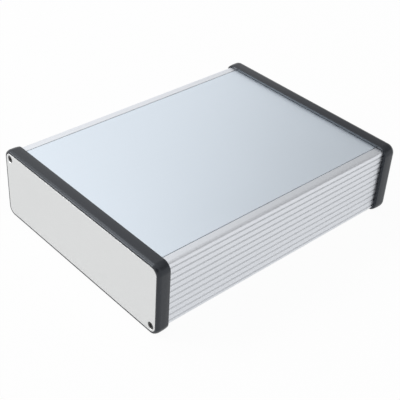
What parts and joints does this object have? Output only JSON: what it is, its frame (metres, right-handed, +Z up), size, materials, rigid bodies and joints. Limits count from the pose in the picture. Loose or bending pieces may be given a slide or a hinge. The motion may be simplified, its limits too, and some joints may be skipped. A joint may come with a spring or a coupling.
{
  "type": "extruded aluminium enclosure",
  "caption": "Ribbed aluminium extrusion case with a slide-in cover, and a black moulded bezel and flat screwed panel at each end.",
  "frame": {"origin": "middle of the underside's footprint, on the surface that the bezels stand on", "axes": "+X right across the width seen from the front, +Y along the length from the front panel to the rear panel, +Z up"},
  "size_m": [0.165, 0.22, 0.0548],
  "materials": {
    "anodised_body": "satin silver anodised extrusion with fine lines along its length",
    "anodised_cover": "smooth satin silver anodised plate",
    "black_plastic": "satin black moulded plastic",
    "panel_sheet": "matt silver anodised sheet",
    "black_screw": "black oxide steel"
  },
  "bodies": {
    "root": {"body_extrusion": "anodised_body", "cover_plate": "anodised_cover", "front_bezel": "black_plastic", "rear_bezel": "black_plastic", "front_panel": "panel_sheet", "rear_panel": "panel_sheet", "front_upper_screw": "black_screw", "front_lower_screw": "black_screw", "rear_upper_screw": "black_screw", "rear_lower_screw": "black_screw"}
  },
  "joints": []
}
